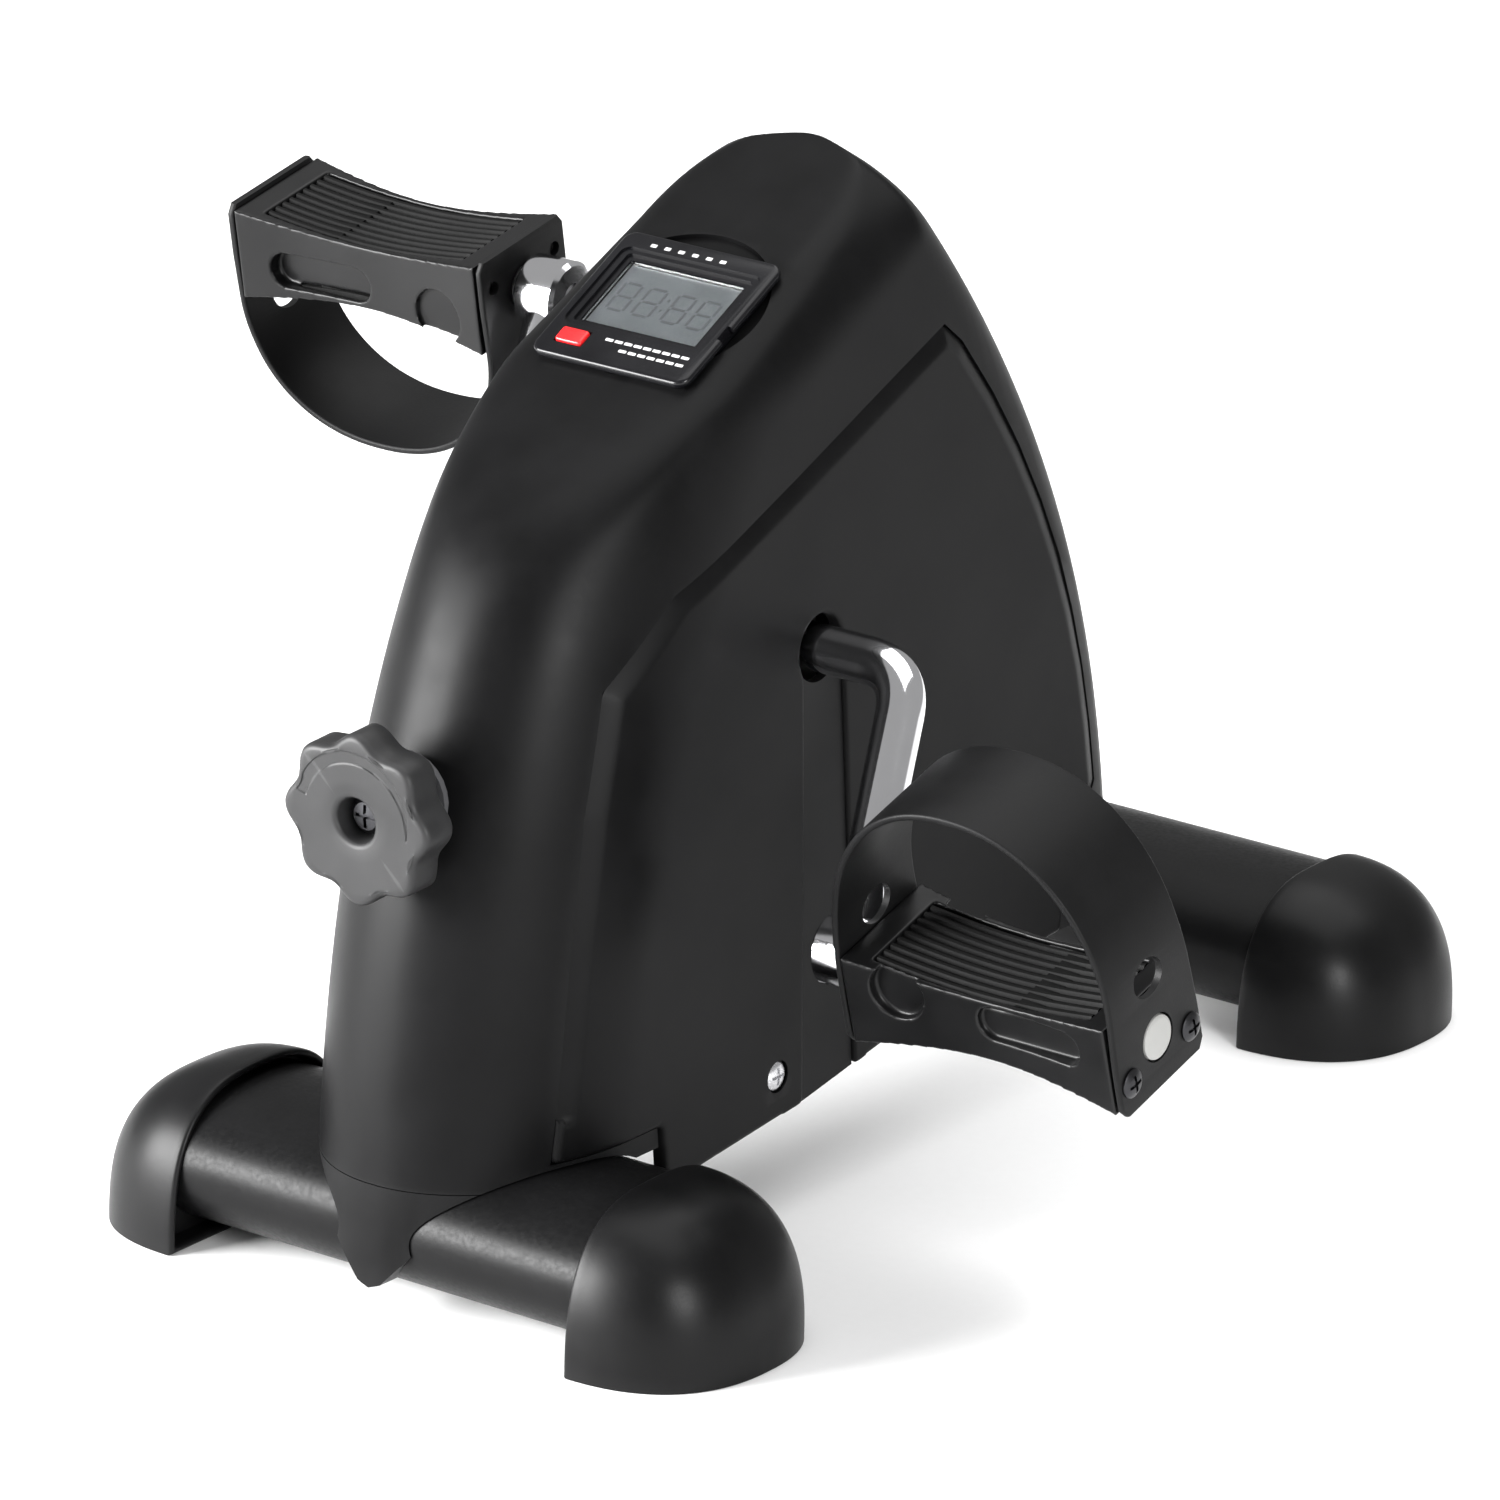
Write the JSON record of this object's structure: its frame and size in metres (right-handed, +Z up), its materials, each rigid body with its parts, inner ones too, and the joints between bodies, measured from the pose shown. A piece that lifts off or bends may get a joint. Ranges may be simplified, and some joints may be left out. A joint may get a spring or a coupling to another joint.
{
  "type": "pedal exerciser",
  "caption": "Desk-height pedal exerciser: upright casing on two foot bars, chromed crank, strapped pedals, front tension knob and a tilted display unit.",
  "frame": {"origin": "on the floor, midway along the machine (4 mm to the knob side of the midpoint between the foot bars), in its middle plane", "axes": "X along the crank axis and the foot bars, +X towards the pedal that is low; +Y from the knob side to the far side; +Z up"},
  "size_m": [0.3954, 0.4336, 0.3088],
  "materials": {
    "cover_black": "satin moulded",
    "bar_black": "satin powder coat",
    "frame_black": "matt powder coat",
    "cap_rubber": "satin",
    "zinc_steel": "zinc plated",
    "bracket_steel": "bare steel",
    "bush_bronze": "sintered",
    "crank_chrome": "polished",
    "drum_iron": "turned",
    "shoe_plastic": "moulded",
    "pad_felt": "pressed felt",
    "part_black": "moulded",
    "knob_black": "fine texture",
    "black_screw": "black oxide",
    "housing_black": "gloss",
    "window_clear": "clear",
    "panel_grey": "liquid crystal",
    "button_red": "gloss",
    "board_green": "lacquered",
    "battery_steel": "nickel plated",
    "wire_black": "satin",
    "pedal_black": "moulded",
    "tread_rubber": "matt ribbed",
    "strap_rubber": "satin",
    "cap_white": "moulded"
  },
  "bodies": {
    "frame": {"front_tube": "bar_black", "rear_tube": "bar_black", "front_cap_right": "cap_rubber", "front_cap_left": "cap_rubber", "rear_cap_right": "cap_rubber", "rear_cap_left": "cap_rubber", "front_bolt_right": "zinc_steel", "front_bolt_left": "zinc_steel", "rear_bolt_right": "zinc_steel", "rear_bolt_left": "zinc_steel", "frame_rail": "frame_black", "bearing_bracket": "bracket_steel", "axle_bush_right": "bush_bronze", "axle_bush_left": "bush_bronze", "centre_cover": "cover_black", "side_cover_right": "cover_black", "side_cover_left": "cover_black", "slot_strip_right": "cover_black", "slot_strip_left": "cover_black", "cover_screw_right": "zinc_steel", "cover_screw_left": "zinc_steel", "front_saddle": "cover_black", "shoe_guide": "part_black", "knob_bush": "part_black", "display_housing": "housing_black", "display_window": "window_clear", "display_panel": "panel_grey", "display_board": "board_green", "display_battery": "battery_steel", "display_back": "part_black", "turn_sensor": "part_black", "sensor_wire": "wire_black"},
    "crank": {"crank": "crank_chrome", "brake_drum": "drum_iron", "crank_magnet": "zinc_steel", "pedal_spindle_right": "bracket_steel", "pedal_spindle_left": "bracket_steel"},
    "pedal_right": {"pedal_body_right": "pedal_black", "pedal_tread_right_strap_side": "tread_rubber", "pedal_tread_right_far_side": "tread_rubber", "pedal_strap_right": "strap_rubber", "pedal_cap_right": "cap_white", "strap_screw_right_front": "black_screw", "strap_screw_right_rear": "black_screw"},
    "pedal_left": {"pedal_body_left": "pedal_black", "pedal_tread_left_strap_side": "tread_rubber", "pedal_tread_left_far_side": "tread_rubber", "pedal_strap_left": "strap_rubber", "pedal_cap_left": "cap_white", "strap_screw_left_front": "black_screw", "strap_screw_left_rear": "black_screw"},
    "knob": {"tension_knob": "knob_black", "knob_screw": "black_screw", "tension_screw": "bracket_steel"},
    "brake": {"brake_shoe": "shoe_plastic", "brake_pad": "pad_felt"},
    "button": {"mode_button": "button_red"}
  },
  "joints": [
    {"name": "crank_spin", "type": "hinge", "parent": "frame", "child": "crank", "pos_m": [0, -0.057, 0.1745], "axis": [1, 0, 0], "continuous": true},
    {"name": "pedal_right_spin", "type": "hinge", "parent": "crank", "child": "pedal_right", "pos_m": [0.092, -0.10075, 0.10338], "axis": [1, 0, 0], "continuous": true},
    {"name": "pedal_left_spin", "type": "hinge", "parent": "crank", "child": "pedal_left", "pos_m": [-0.086, -0.01325, 0.24562], "axis": [1, 0, 0], "continuous": true},
    {"name": "knob_turn", "type": "hinge", "parent": "frame", "child": "knob", "pos_m": [0, -0.216, 0.15359], "axis": [0, 0.9986, 0.0523], "range_deg": [0, 720]},
    {"name": "brake_slide", "type": "slide", "parent": "frame", "child": "brake", "axis": [0, 0.9986, 0.0523], "range_m": [0, 0.003]},
    {"name": "button_press", "type": "slide", "parent": "frame", "child": "button", "axis": [0, 0.4565, -0.8897], "range_m": [0, 0.0008], "stiffness_N_per_m": 500}
  ],
  "couplings": [
    {"joint": "knob_turn", "follows": "brake_slide", "rad_per_m": 4188.7}
  ]
}
